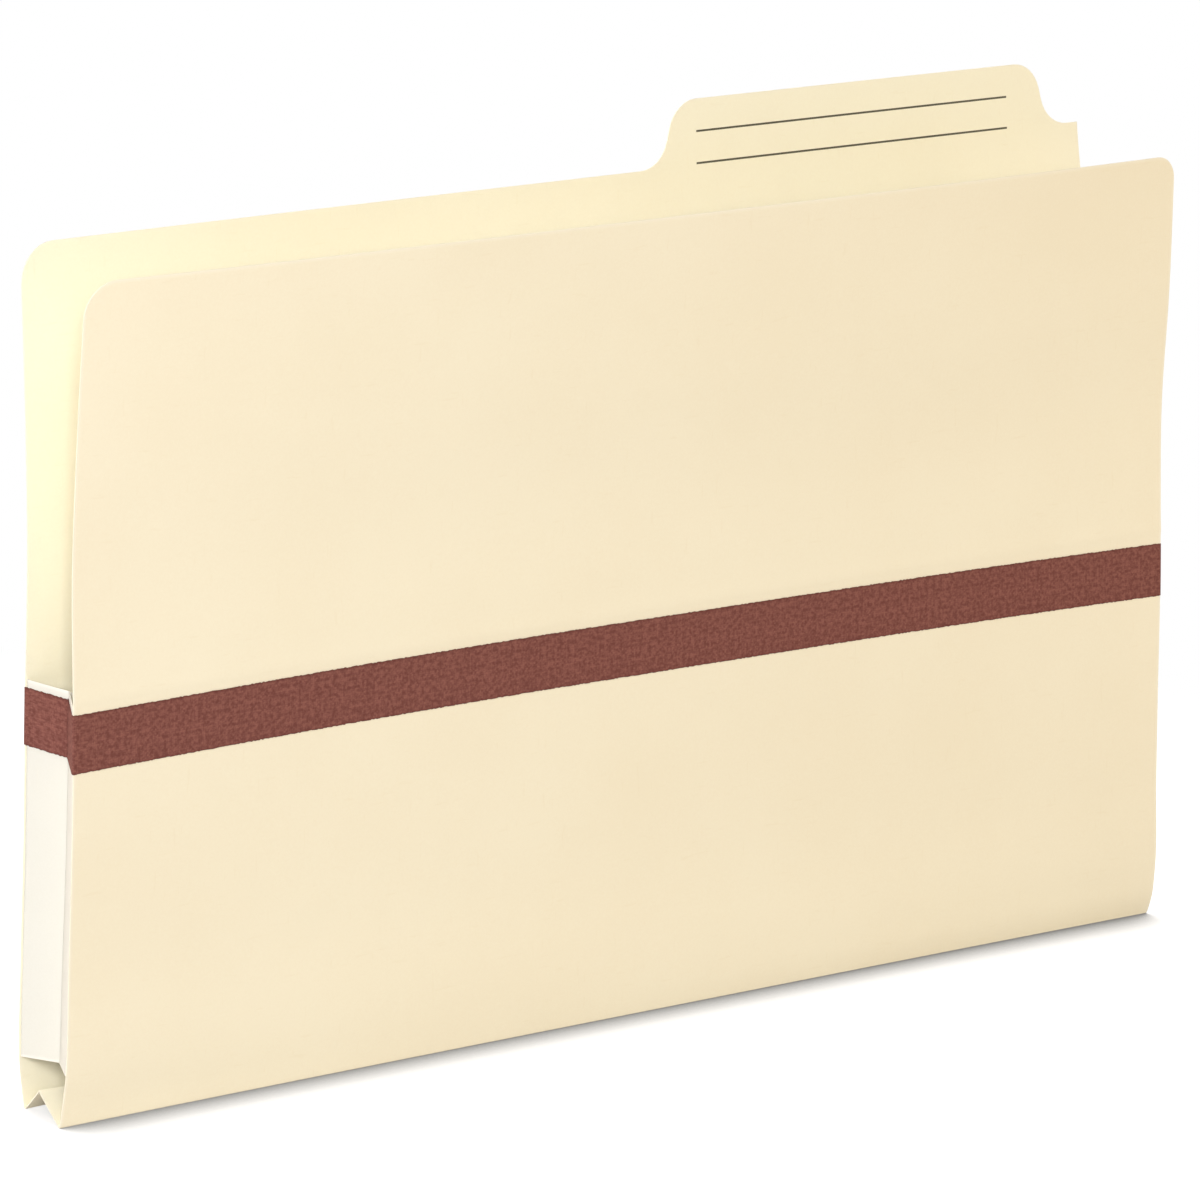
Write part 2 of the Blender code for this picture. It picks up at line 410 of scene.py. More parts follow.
MANILA = paper_material("manila_card", light=(0.94, 0.86, 0.665), dark=(0.92, 0.83, 0.63),
                        fibre=(0.80, 0.66, 0.42), worn_and_lit=(0.96, 0.90, 0.745),
                        roughness=0.72, felt_scale=1400.0, bump=0.12)
# A paler copy of the manila for the faces inside the pocket: painted light that lifts the shade
# there.
MANILA_INSIDE_PAINTED_LIGHT = paper_material("manila_inside",
                               light=(0.968, 0.922, 0.735), dark=(0.948, 0.892, 0.700),
                               fibre=(0.82, 0.72, 0.48), worn_and_lit=(0.95, 0.90, 0.74),
                               roughness=0.76, felt_scale=1400.0, bump=0.10)
GUSSET_PAPER = paper_material("off_white_paper",
                              light=(0.80, 0.785, 0.715), dark=(0.78, 0.76, 0.685),
                              fibre=(0.86, 0.79, 0.66), worn_and_lit=(0.95, 0.92, 0.85),
                              roughness=0.62, felt_scale=1900.0, bump=0.08)
print("papers:", MANILA.name, MANILA_INSIDE_PAINTED_LIGHT.name, GUSSET_PAPER.name)

# %% [markdown]
# ## The shape of the two cards
# A card that stands open is never flat. Its depth from the middle plane is set at its left end and
# at its right end by a few heights, from the pinched bottom fold up to the flaring top, and between
# the ends it bows. A smooth curve through those points gives every place on the sheet. The front
# sinks towards the back at the band and bulges out at its top, and the back flap twists open on the
# right, where the tab is. Just above the band, the scored bend line leaves a low ridge.

# %% Depth of a card at any place
def smooth_through(points, at):
    """A smooth curve through a few (height, value) points."""
    heights, values = np.array(points, float).T
    slopes = np.gradient(values, heights)
    at = np.clip(at, heights[0], heights[-1])
    low = np.clip(np.searchsorted(heights, at) - 1, 0, len(heights) - 2)
    step = heights[low + 1] - heights[low]
    t = (at - heights[low]) / step
    rising = t * t * (3 - 2 * t)
    bend = t * (1 - t) ** 2 * slopes[low] + t * t * (t - 1) * slopes[low + 1]
    return values[low] * (1 - rising) + values[low + 1] * rising + bend * step


FRONT_SHAPE = {
    "side": -1.0,
    "left": ((0, -9.3), (5, -9.7), (13, -10.7), (40, -11.2), (94, -11.6), (BEND_Z, -11.0),
             (140, -9.8), (180, -10.9), (220, -13.4)),
    "right": ((0, -13.0), (5, -14.6), (14, -15.4), (40, -13.9), (66, -12.5), (94, -11.2),
              (BEND_Z, -9.9), (150, -7.5), (180, -8.0), (220, -7.2)),
    "bow": ((0, 0.7), (50, 2.5), (102, 3.1), (BEND_Z, 2.6), (140, 1.6), (180, -0.7), (220, -2.8)),
    "corner": -0.6,
}
BACK_SHAPE = {
    "side": 1.0,
    "left": ((0, 9.2), (5, 9.5), (13, 10.2), (40, 10.2), (70, 9.8), (94, 9.9), (BEND_Z, 10.0),
             (145, 10.1), (175, 11.6), (224, 15.2), (242, 16.0)),
    "right": ((0, 9.6), (5, 10.4), (13, 11.2), (40, 11.4), (94, 11.4), (BEND_Z, 11.7),
              (140, 15.8), (165, 21.0), (195, 27.6), (224, 33.5), (242, 35.5)),
    "bow": ((0, 2.9), (102, 2.9), (BEND_Z, 2.8), (180, 1.6), (242, 0.7)),
    "corner": 1.2,
}
CORNER_HEIGHT = 16.0
CORNER_REACH = 60.0
BEND_RIDGE = 0.16
BEND_RIDGE_BELOW = 1.3
BEND_RIDGE_ABOVE = 2.4
BEND_RIDGE_Z = BEND_Z - 0.9
BEND_RIDGE_TILT = 0.6


def card_depth(shape, x, z):
    """Depth of the middle of a card's thickness, with the low ridge of its scored bend line."""
    across = x / HALF_WIDTH
    left = smooth_through(shape["left"], z)
    right = smooth_through(shape["right"], z)
    bow = smooth_through(shape["bow"], z) * (1 - np.abs(across) ** 3)
    past_ridge = z - BEND_RIDGE_Z - BEND_RIDGE_TILT * across
    ridge_width = np.where(past_ridge < 0, BEND_RIDGE_BELOW, BEND_RIDGE_ABOVE)
    ridge = BEND_RIDGE * np.exp(-(past_ridge / ridge_width) ** 2)
    return left + (right - left) * (across + 1) / 2 + bow + shape["side"] * ridge


def corner_shift(shape, x, z):
    """How far the left bottom corner is pulled along the pocket by its pinched pleat."""
    low = np.clip(1 - z / CORNER_HEIGHT, 0, 1) ** 2
    near = np.clip(1 - (x + HALF_WIDTH) / CORNER_REACH, 0, 1) ** 2
    return shape["corner"] * low * near


for name, shape in (("front", FRONT_SHAPE), ("back", BACK_SHAPE)):
    print(name, "card's depth half way along, at the fold, the band and the top:",
          card_depth(shape, 0.0, np.array((0.0, TAPE_TOP, FRONT_TOP))).round(1))

# %% [markdown]
# ## The outlines
# Each card's top edge is a list of points from left to right: rounded corners as arcs, and on the
# back the tab with its two S-shaped sides, which are two arcs joined by a short slope.

# %% Top edges of the cards
FRONT_TOP_LEFT = FRONT_TOP - 0.5
FRONT_TOP_RIGHT = FRONT_TOP + 1.0
FRONT_LEFT_RADIUS = 9.5
FRONT_RIGHT_RADIUS = 6.5
BACK_LEFT_RADIUS = 10.0
TAB_RISE = 18.0
TAB_WIDTH = 142.0
TAB_FROM_RIGHT_EDGE = 14.5
TAB_CURVE_RADIUS = 10.0
TAB_EDGE_ANGLE = 75.0
SHOULDER_Z = TAB_TOP - TAB_RISE
TAB_RIGHT = HALF_WIDTH - TAB_FROM_RIGHT_EDGE
TAB_LEFT = TAB_RIGHT - TAB_WIDTH


def arc_points(centre, radius, start, end, steps=9):
    """Points on an arc between two angles in degrees."""
    angles = np.radians(np.linspace(start, end, steps))
    return [(centre[0] + radius * math.cos(a), centre[1] + radius * math.sin(a)) for a in angles]


def tab_side(middle_x):
    """The S-shaped left side of the tab, from the card's shoulder up to the tab's top."""
    slope = math.radians(TAB_EDGE_ANGLE)
    straight = (TAB_RISE - 2 * TAB_CURVE_RADIUS * (1 - math.cos(slope))) / math.sin(slope)
    half_run = TAB_CURVE_RADIUS * math.sin(slope) + straight * math.cos(slope) / 2
    low = arc_points((middle_x - half_run, SHOULDER_Z + TAB_CURVE_RADIUS), TAB_CURVE_RADIUS,
                     -90.0, TAB_EDGE_ANGLE - 90.0)
    high = arc_points((middle_x + half_run, TAB_TOP - TAB_CURVE_RADIUS), TAB_CURVE_RADIUS,
                      90.0 + TAB_EDGE_ANGLE, 90.0)
    return low + high


def mirrored(points, about_x):
    return [(2 * about_x - x, z) for x, z in reversed(points)]


FRONT_EDGE = (
    arc_points((FRONT_LEFT_RADIUS - HALF_WIDTH, FRONT_TOP_LEFT - FRONT_LEFT_RADIUS),
               FRONT_LEFT_RADIUS, 180, 90)
    + arc_points((HALF_WIDTH - FRONT_RIGHT_RADIUS, FRONT_TOP_RIGHT - FRONT_RIGHT_RADIUS),
                 FRONT_RIGHT_RADIUS, 90, 0)
)
BACK_EDGE = (
    arc_points((BACK_LEFT_RADIUS - HALF_WIDTH, SHOULDER_Z - BACK_LEFT_RADIUS),
               BACK_LEFT_RADIUS, 180, 90)
    + tab_side(TAB_LEFT) + mirrored(tab_side(TAB_RIGHT), TAB_RIGHT) + [(HALF_WIDTH, SHOULDER_Z)]
)
print("points on the top edges:", len(FRONT_EDGE), "front,", len(BACK_EDGE), "back")

# %% [markdown]
# ## From a grid to a sheet
# Every sheet starts as a grid of points, one layer thick. Solidify gives it the stock's thickness,
# half to each side, and closes its rim. The result is read back as a plain mesh. A point attribute
# marks the last millimetre at the cut edges, where card is fluffed and paler; the paler colour is
# also a painted highlight where the edge catches the light.

# %% Sheet builder
EDGE_BAND = 0.9
SHARP_ANGLE = math.radians(40.0)
FACES_INSIDE = 0.5


def quads_of(rows, columns):
    """Faces of a grid, as indices into its points row by row."""
    first = (np.arange(rows - 1)[:, None] * columns + np.arange(columns - 1)).reshape(-1)
    return np.stack([first, first + 1, first + columns + 1, first + columns], axis=1).tolist()


def settle(made):
    """Replace an object's mesh by what its modifiers make, and remove them."""
    graph = bpy.context.evaluated_depsgraph_get()
    final = bpy.data.meshes.new_from_object(made.evaluated_get(graph))
    made.modifiers.clear()
    made.data = final
    final.shade_smooth()
    final.set_sharp_from_angle(angle=SHARP_ANGLE)
    return made


def thicken(made, thickness):
    solid = made.modifiers.new("stock_thickness", "SOLIDIFY")
    solid.thickness = thickness * MM
    solid.offset = 0.0
    return made


def mark_points(mesh, name, values):
    """Store one number for each point of a mesh."""
    layer = mesh.attributes.new(name, "FLOAT", "POINT")
    layer.data.foreach_set("value", values.reshape(-1).astype(np.float32))


def grid_object(name, grid, material, edge_distance=None):
    """An object with one layer of quads over a grid of world points."""
    mesh = bpy.data.meshes.new(name)
    mesh.from_pydata(grid.reshape(-1, 3).tolist(), [], quads_of(*grid.shape[:2]))
    mesh.materials.append(material)
    if edge_distance is not None:
        mark_points(mesh, "cut_edge", np.clip(1 - edge_distance / EDGE_BAND, 0, 1))
    return add_object(name, mesh)


def paint_inside_lighter(made, way):
    """Give the faces that look one way, into the pocket, the paler copy of the manila: painted
    light that lifts the shade inside the pocket.
    """
    faces = made.data.polygons
    normals = np.zeros(len(faces) * 3, np.float32)
    faces.foreach_get("normal", normals)
    inside = normals.reshape(-1, 3) @ np.array(way) > FACES_INSIDE
    made.data.materials.append(MANILA_INSIDE_PAINTED_LIGHT)
    faces.foreach_set("material_index", inside.astype(np.int32))


def report(made, *notes):
    """Print a piece's name and its number of triangles."""
    made.data.calc_loop_triangles()
    print(made.name, *notes, len(made.data.loop_triangles), "triangles")


# %% [markdown]
# ## Front and back card
# One sheet reaches from the rounded bottom fold to the top of the flap, so it has no seam at the
# bend line. Rows are close together at the fold, at the bend line and at the top edge. The sheet
# takes the place of both the panel and the flap in the frame.

# %% Cards
FOLD_RADIUS = 0.3
FOLD_STEPS = 9
LEAF_TURN = 48.0
COLUMN_STEP = 4.0
LEVELS = np.concatenate([
    np.linspace(1.2, 16.0, 12), np.linspace(20.0, 108.0, 23),
    np.arange(109.4, 115.2, 0.6), (116.0, 118.0),
    np.linspace(122.0, 194.0, 19),
])
TOP_SHARES = np.concatenate([np.linspace(0.06, 0.96, 16), (0.98, 1.0)])
BEND_ZONE = (109.8, 117.0)


def columns_under(edge):
    """Places across the card: the edge's own points, with long stretches divided."""
    xs, zs = np.array(edge).T
    stops = [xs[0]]
    for before, after in zip(xs[:-1], xs[1:]):
        count = max(1, math.ceil((after - before) / COLUMN_STEP))
        stops.extend(before + (after - before) * (np.arange(count) + 1) / count)
    stops.extend((-HALF_WIDTH + EDGE_BAND, HALF_WIDTH - EDGE_BAND))
    stops = np.unique(np.round(stops, 4))
    return stops, np.interp(stops, xs, zs)


def fold_point(shape, x, angle):
    """A place on the rounded bottom fold, as depth and height."""
    inward = FOLD_RADIUS * (1 + math.cos(angle))
    base = card_depth(shape, x, np.zeros_like(x))
    return base - shape["side"] * inward, FOLD_RADIUS * (1 + math.sin(angle)) + CARD / 2


def fold_arc(shape, x):
    """The rounded bottom fold, from the pleat's side round to the panel."""
    rows = []
    for angle in np.radians(np.linspace(-LEAF_TURN, -180.0, FOLD_STEPS)):
        depth, z = fold_point(shape, x, angle)
        rows.append(world(x + corner_shift(shape, x, z), depth, z))
    return rows


def card_grid(shape, edge):
    x, top = columns_under(edge)
    rows = fold_arc(shape, x)
    heights = [np.full_like(x, z) for z in LEVELS]
    heights += [LEVELS[-1] + (top - LEVELS[-1]) * share for share in TOP_SHARES]
    rows += [world(x + corner_shift(shape, x, z), card_depth(shape, x, z), z) for z in heights]
    side_distance = HALF_WIDTH - np.abs(x)
    distance = [side_distance] * FOLD_STEPS + [np.minimum(side_distance, top - z) for z in heights]
    return np.array(rows), np.array(distance)


def make_sheet(name, grid, distance, inward, zone, nodes):
    """A sheet of card from a grid. The zone of heights is worked out in the frame, but nothing uses
    it.
    """
    made = settle(thicken(grid_object(name, grid, MANILA, distance), CARD))
    paint_inside_lighter(made, inward)
    world(0.0, 0.0, zone[0])
    world(0.0, 0.0, zone[1])
    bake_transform(made)
    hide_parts(*nodes)
    report(made)
    return made


def make_card(body, shape, edge):
    grid, distance = card_grid(shape, edge)
    return make_sheet(f"{body}_card", grid, distance, (0.0, -shape["side"], 0.0),
                      BEND_ZONE, (f"{body}_panel", f"{body}_flap"))


cards = {"front": make_card("front", FRONT_SHAPE, FRONT_EDGE),
         "back": make_card("back", BACK_SHAPE, BACK_EDGE)}

# %% [markdown]
# ## The bottom pleat
# Between the two bottom folds the card rises inside the pocket to a ridge, so the bottom can open
# and shut. Each half starts on the end of the rounded fold, runs up to the ridge and takes the
# place of its own leaf in the frame. The halves run a little past the ridge, so that no slit shows
# between them when the pleat opens wider.

# %% Bottom pleat
RIDGE_AT_ENDS = (0.2, 5.8)
RIDGE_AT_MIDDLE = (1.2, 6.2)
LEFT_RIDGE_RISE = (0.9, 1.1)
LEFT_RIDGE_REACH = 60.0
RIDGE_OFFSET = 0.12
RIDGE_OVERLAP = 0.035
PLEAT_BELLY = 0.25
PLEAT_ZONE = (0.26, 1.0)
PLEAT_COLUMNS = 95
PLEAT_SHARES = np.concatenate([(0.0, 0.02, 0.045, 0.075, 0.11, 0.16),
                               np.linspace(0.23, 1.0, 10), (1.0 + RIDGE_OVERLAP,)])


def ridge_place(x):
    """Depth and height of the ridge at a place along the pocket."""
    share = 1 - np.abs(x / HALF_WIDTH) ** 3
    near_left = np.clip(1 - (x + HALF_WIDTH) / LEFT_RIDGE_REACH, 0, 1) ** 2
    return [end + (middle - end) * share + rise * near_left
            for end, middle, rise in zip(RIDGE_AT_ENDS, RIDGE_AT_MIDDLE, LEFT_RIDGE_RISE)]


def make_pleat(half, shape):
    x = np.unique(np.concatenate([np.linspace(-HALF_WIDTH, HALF_WIDTH, PLEAT_COLUMNS),
                                  (-HALF_WIDTH + EDGE_BAND, HALF_WIDTH - EDGE_BAND)]))
    start_depth, start_height = fold_point(shape, x, math.radians(-LEAF_TURN))
    ridge_depth, ridge_height = ridge_place(x)
    end_depth = ridge_depth + shape["side"] * RIDGE_OFFSET
    rows = []
    for share in PLEAT_SHARES:
        belly = PLEAT_BELLY * 4 * share * (1 - share)
        depth = start_depth + (end_depth - start_depth) * share
        z = start_height + (ridge_height - start_height) * share - belly
        rows.append(world(x + corner_shift(shape, x, z) * (1 - share), depth, z))
    distance = np.tile(HALF_WIDTH - np.abs(x), (len(rows), 1))
    make_sheet(f"{half}_bottom_pleat", np.array(rows), distance, (0.0, 0.0, 1.0),
               PLEAT_ZONE, (f"bottom_{half}_leaf",))


make_pleat("front", FRONT_SHAPE)
make_pleat("rear", BACK_SHAPE)

# %% [markdown]
# ## Paths across an end of the pocket
# A gusset and the tape on it are strips seen end-on as a path: along the inside of the card, round
# its cut end, and in to the crease half way. The path is worked out again at every height, because
# the cards' ends lean, and its corners are rounded as bent paper is. The inset counts from the
# card's end inwards, so the same path serves both ends.

# %% End paths
CREASE_INSET = ((GUSSET_LOW, 5.3), (60.0, 5.7), (GUSSET_TOP, 6.1))
FOLD_INSET = 0.35
LEAF_ON_CARD = CARD / 2 + GLUE + PAPER


def unit(vector):
    return vector / np.linalg.norm(vector)


def rounded_path(corners, radius, steps=6):
    """A path of straight runs whose inner corners are rounded."""
    corners = [np.array(c, float) for c in corners]
    path = [corners[0]]
    for before, corner, after in zip(corners, corners[1:], corners[2:]):
        half_runs = (np.linalg.norm(before - corner) / 2, np.linalg.norm(after - corner) / 2)
        reach = min(radius, *half_runs)
        start = corner + unit(before - corner) * reach
        end = corner + unit(after - corner) * reach
        for t in np.linspace(0.0, 1.0, steps):
            path.append(start * (1 - t) ** 2 + corner * 2 * t * (1 - t) + end * t * t)
    return np.array(path + [corners[-1]])


def depth_at(shape, x, z):
    return float(card_depth(shape, np.array(x), np.array(z)))


def crease_at(end, z):
    """The gusset's centre crease: its inset, and its depth half way between the cards."""
    depths = [depth_at(shape, end * HALF_WIDTH, z) for shape in (FRONT_SHAPE, BACK_SHAPE)]
    return np.array((float(smooth_through(CREASE_INSET, z)), sum(depths) / 2))


def inner_face(shape, end, inset, z, offset):
    """A point off the inner face of a card, as inset and depth."""
    depth = depth_at(shape, end * (HALF_WIDTH - inset), z)
    return np.array((inset, depth - shape["side"] * offset))


def leaf_frame(shape, end, z):
    """A gusset leaf's fold point and crease, the way along it and the way out from its face."""
    fold = inner_face(shape, end, FOLD_INSET, z, LEAF_ON_CARD)
    crease = crease_at(end, z)
    along = unit(crease - fold)
    outward = np.array((along[1], -along[0])) * shape["side"]
    return fold, crease, along, outward


fold, crease, along, outward = leaf_frame(BACK_SHAPE, -1.0, TAPE_TOP)
print("left rear leaf at the band: from", fold.round(2), "to", crease.round(2),
      "facing", outward.round(2))

# %% [markdown]
# ## The gussets
# Each half of a gusset is a glued flange with a mitred free corner, a fold at the card's end and a
# leaf that runs in to the crease. The strips were glued on slightly askew, so their tops slope. The
# rear halves carry a narrow lip past the crease, behind the front half, so that no slit shows when
# the pleat opens wider.

# %% Gusset halves
FLANGE_WIDTH = 12.0
TURN_INSET = FOLD_INSET - 0.2
CORNER_ROUND = 0.7
LIP = 1.3
LIP_LEAN = 0.4
LIP_CLEARANCE = PAPER * 1.6
ASKEW_RISE = 1.7
ASKEW_REACH = 150.0
ASKEW_DEPTH = 10.0
LEFT_SAG = 1.25
RIGHT_SAG = 0.8
RIGHT_SAG_REACH = 280.0
BLEND_RUN = 2.5
MITRE_FROM = 0.8
MITRE_SLOPE = 0.8
GUSSET_COLUMNS = 72
GUSSET_LEVELS = np.concatenate([
    [GUSSET_LOW, GUSSET_LOW + EDGE_BAND],
    np.linspace(17.0, 108.0, 26),
    [GUSSET_TOP - EDGE_BAND, GUSSET_TOP],
])


def gusset_path(shape, end, z, with_lip):
    _, crease, _, outward = leaf_frame(shape, end, z)
    tip = crease - outward * PAPER if with_lip else crease
    corners = [inner_face(shape, end, inset, z, LEAF_ON_CARD - PAPER / 2)
               for inset in (FLANGE_WIDTH, FLANGE_WIDTH / 2, TURN_INSET)]
    path = rounded_path(corners + [tip], CORNER_ROUND)
    if with_lip:
        _, _, front_along, front_outward = leaf_frame(FRONT_SHAPE, end, z)
        lip_end = crease - front_along * LIP - front_outward * (LIP_CLEARANCE + LIP_LEAN)
        path = np.vstack([path, lip_end])
    return path


def resampled(path, count):
    """A path divided into equal steps, and its length."""
    steps = np.linalg.norm(np.diff(path, axis=0), axis=1)
    length = np.concatenate([[0.0], np.cumsum(steps)])
    at = np.linspace(0.0, length[-1], count)
    return np.stack([np.interp(at, length, path[:, k]) for k in range(2)], axis=1), length[-1]


def askew(x, depth, z):
    """How far a strip that was glued askew rises towards the back and sags on the front."""
    near_left = np.clip(1 - (x + HALF_WIDTH) / ASKEW_REACH, 0, 1)
    near_right = np.clip(1 - (HALF_WIDTH - x) / RIGHT_SAG_REACH, 0, 1)
    behind = np.clip(depth / ASKEW_DEPTH, 0, 1)
    ahead = np.clip(-depth / ASKEW_DEPTH, 0, 1)
    rise = ASKEW_RISE * near_left * behind - (LEFT_SAG * near_left + RIGHT_SAG * near_right) * ahead
    return rise * np.clip((z - GUSSET_LOW) / (TAPE_LOW - GUSSET_LOW), 0, 1)


def mitre(path, z):
    """How far a flange is cut down, so that its free corner slopes away from the fold."""
    flange = np.arange(len(path)) < np.argmin(path[:, 0])
    cut = MITRE_SLOPE * np.clip(path[:, 0] - MITRE_FROM, 0, None) * flange
    return cut * (z - GUSSET_LOW) / (GUSSET_TOP - GUSSET_LOW)


def strip_grid(path_at, end, levels, count, with_mitre=False):
    """World points of a strip: one row for each height, one column for each step of its path."""
    rows = []
    for z in levels:
        path, _ = resampled(path_at(z), count)
        x = end * (HALF_WIDTH - path[:, 0])
        height = z + askew(x, path[:, 1], z)
        if with_mitre:
            height = height - mitre(path, z)
        rows.append(world(x, path[:, 1], height))
    return np.array(rows)


def blend_in_depth(made, shape, start):
    """Bake a strip's placing into its mesh. The depths from the card in towards the leaf are worked
    out, but nothing uses them.
    """
    end = start - shape["side"] * BLEND_RUN
    world(0.0, start, 0.0)
    world(0.0, end, 0.0)
    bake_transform(made)


def make_gusset_half(end_name, end, half, shape):
    grid = strip_grid(lambda z: gusset_path(shape, end, z, half == "rear"), end, GUSSET_LEVELS,
                      GUSSET_COLUMNS, with_mitre=True)
    distance = np.minimum(GUSSET_LEVELS - GUSSET_LOW, GUSSET_TOP - GUSSET_LEVELS)
    distance = np.tile(distance[:, None], (1, GUSSET_COLUMNS))
    name = f"{end_name}_gusset_{half}_half"
    made = settle(thicken(grid_object(name, grid, GUSSET_PAPER, distance), PAPER))
    folds = [inner_face(shape, end, FOLD_INSET, z, LEAF_ON_CARD)[1] for z in GUSSET_LEVELS]
    start = shape["side"] * (np.abs(folds).min() - PAPER)
    blend_in_depth(made, shape, start)
    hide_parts(f"{end_name}_gusset_{half}_flange", f"{end_name}_gusset_{half}_leaf")
    report(made)
    return made


ENDS = (("left", -1.0), ("right", 1.0))
HALVES = (("rear", BACK_SHAPE, "back"), ("front", FRONT_SHAPE, "front"))
for end_name, end in ENDS:
    for half, shape, body in HALVES:
        make_gusset_half(end_name, end, half, shape)

# %% [markdown]
# ## The woven tape
# The band is a cloth tape in plain weave. Its ribs are the weft yarns that cross it, real enough to
# catch light and to make the edges slightly uneven, so Geometry Nodes lift them on a fine strip.
# The warp, which is finer, is left to the material. The strip's map counts tape widths along it, so
# the weave follows the tape round every corner.

# %% Node group for the weave
TAPE_WIDTH = TAPE_TOP - TAPE_LOW
WEFT_PITCH = 0.6
WEFT_YARNS = TAPE_WIDTH / WEFT_PITCH
WARP_YARNS = 26.0
SLUB_SCALE = 12.0
SLUB_STRETCH = (0.9, 1.0, 1.0)
SLUB_SHARE = 0.60
SPECK_SCALE = 24.0
SPECK_SHARE = 0.32
YARN_SHARE = 0.08
WEFT_SEED = 3.1
WARP_SEED = 47.7
EDGE_SHADE_BAND = (0.462, 0.5)


def weave_group():
    inputs = {"Map": "Vector", "Weft Count": "Float", "Warp Count": "Float"}
    tree, given, outlet = new_group("ShaderNodeTree", "plain_weave", inputs,
                                    {"Tone": "Float", "Height": "Float", "Selvedge": "Float"})
    strip = given["Map"]
    parts = add_node(tree, "ShaderNodeSeparateXYZ", {0: strip}).outputs
    along = multiply(tree, parts["X"], given["Weft Count"])
    across = multiply(tree, parts["Y"], given["Warp Count"])
    crowns, numbers, shades = [], [], []
    for yarn, seed in ((along, WEFT_SEED), (across, WARP_SEED)):
        wave = calculate(tree, "SINE", multiply(tree, yarn, math.pi))
        crowns.append(calculate(tree, "ABSOLUTE", wave))
        numbers.append(calculate(tree, "FLOOR", yarn))
        shade = add_node(tree, "ShaderNodeTexWhiteNoise",
                         {"W": calculate(tree, "ADD", numbers[-1], seed)}, noise_dimensions="1D")
        shades.append(shade.outputs["Value"])
    warp_on_top = calculate(tree, "PINGPONG", calculate(tree, "ADD", *numbers), 1.0)
    weft_on_top = calculate(tree, "SUBTRACT", 1.0, warp_on_top)
    weft_part = multiply(tree, crowns[0], weft_on_top)
    mixed = add_node(tree, "ShaderNodeMix", {0: warp_on_top, 2: shades[0], 3: shades[1]},
                     data_type="FLOAT")
    slubs = add_noise(tree, strip, SLUB_SCALE, 3.0, SLUB_STRETCH)
    specks = add_noise(tree, strip, SPECK_SCALE, 2.0)
    tone = multiply(tree, specks, SPECK_SHARE)
    tone = calculate(tree, "MULTIPLY_ADD", slubs, SLUB_SHARE, tone)
    tone = calculate(tree, "MULTIPLY_ADD", mixed.outputs[0], YARN_SHARE, tone)
    # A band at both edges of the tape, for a painted shade line there.
    from_middle = calculate(tree, "ABSOLUTE", calculate(tree, "SUBTRACT", parts["Y"], 0.5))
    edge = narrow(tree, from_middle, *EDGE_SHADE_BAND)
    height = calculate(tree, "MULTIPLY_ADD", crowns[1], warp_on_top, weft_part)
    feed(outlet, {"Tone": tone, "Height": height, "Selvedge": edge})
    return tree


PLAIN_WEAVE = weave_group()
print("node group:", PLAIN_WEAVE.name)

# %% Tape material
TAPE_TONES = (0.36, 0.64)
TAPE_DARK = (0.172, 0.058, 0.047, 1.0)
TAPE_LIGHT = (0.290, 0.114, 0.089, 1.0)
HOLLOW_SHADE_COLOUR = (0.135, 0.040, 0.036, 1.0)
HOLLOW_SHADE_SHARE = 0.30
EDGE_SHADE_COLOUR = (0.10, 0.030, 0.027, 1.0)
EDGE_SHADE_SHARE = 0.6
TAPE_ROUGHNESS = (0.72, 0.15)
TAPE_SHEEN = 0.10
TAPE_BUMP = 0.5
TAPE_RELIEF = 0.00008


def tape_material():
    material, tree, shader = new_material("brown_woven_tape")
    strip = add_node(tree, "ShaderNodeUVMap", uv_map="tape_map").outputs["UV"]
    weave = add_node(tree, "ShaderNodeGroup",
                     {"Map": strip, "Weft Count": WEFT_YARNS, "Warp Count": WARP_YARNS},
                     node_tree=PLAIN_WEAVE).outputs
    colour = blend_colours(tree, narrow(tree, weave["Tone"], *TAPE_TONES), TAPE_DARK, TAPE_LIGHT)
    # Painted shade: the hollows between the yarns are darkened.
    hollow_shade = calculate(tree, "SUBTRACT", 1.0, weave["Height"])
    hollow_shade = multiply(tree, hollow_shade, HOLLOW_SHADE_SHARE)
    colour = blend_colours(tree, hollow_shade, colour, HOLLOW_SHADE_COLOUR)
    # Painted shade: a darker line along both edges of the tape.
    edge_shade = multiply(tree, weave["Selvedge"], EDGE_SHADE_SHARE)
    colour = blend_colours(tree, edge_shade, colour, EDGE_SHADE_COLOUR)
    smoothest, spread = TAPE_ROUGHNESS
    rough = calculate(tree, "MULTIPLY_ADD", weave["Tone"], spread, smoothest)
    feed(shader, {"Base Color": colour, "Roughness": rough, "Specular IOR Level": TAPE_SHEEN})
    add_relief(tree, shader, weave["Height"], TAPE_BUMP, TAPE_RELIEF)
    return material


WOVEN_TAPE = tape_material()
print("tape:", WOVEN_TAPE.name, f"{TAPE_WIDTH:.1f} mm wide")

# %% Geometry nodes that lift the weft
RIB_HEIGHT = 0.02
RAGGED_EDGE = 0.10
RAGGED_FALLOFF = 6.0
COLUMNS_PER_YARN = 4
TAPE_ROWS = 11


def paint_and_end(tree, outlet, geometry, material):
    """Make instances real, set the material and hand the geometry out."""
    solid = add_node(tree, "GeometryNodeRealizeInstances", {"Geometry": geometry})
    paint = add_node(tree, "GeometryNodeSetMaterial", {"Geometry": solid, "Material": material})
    feed(outlet, {"Geometry": paint})
    return tree


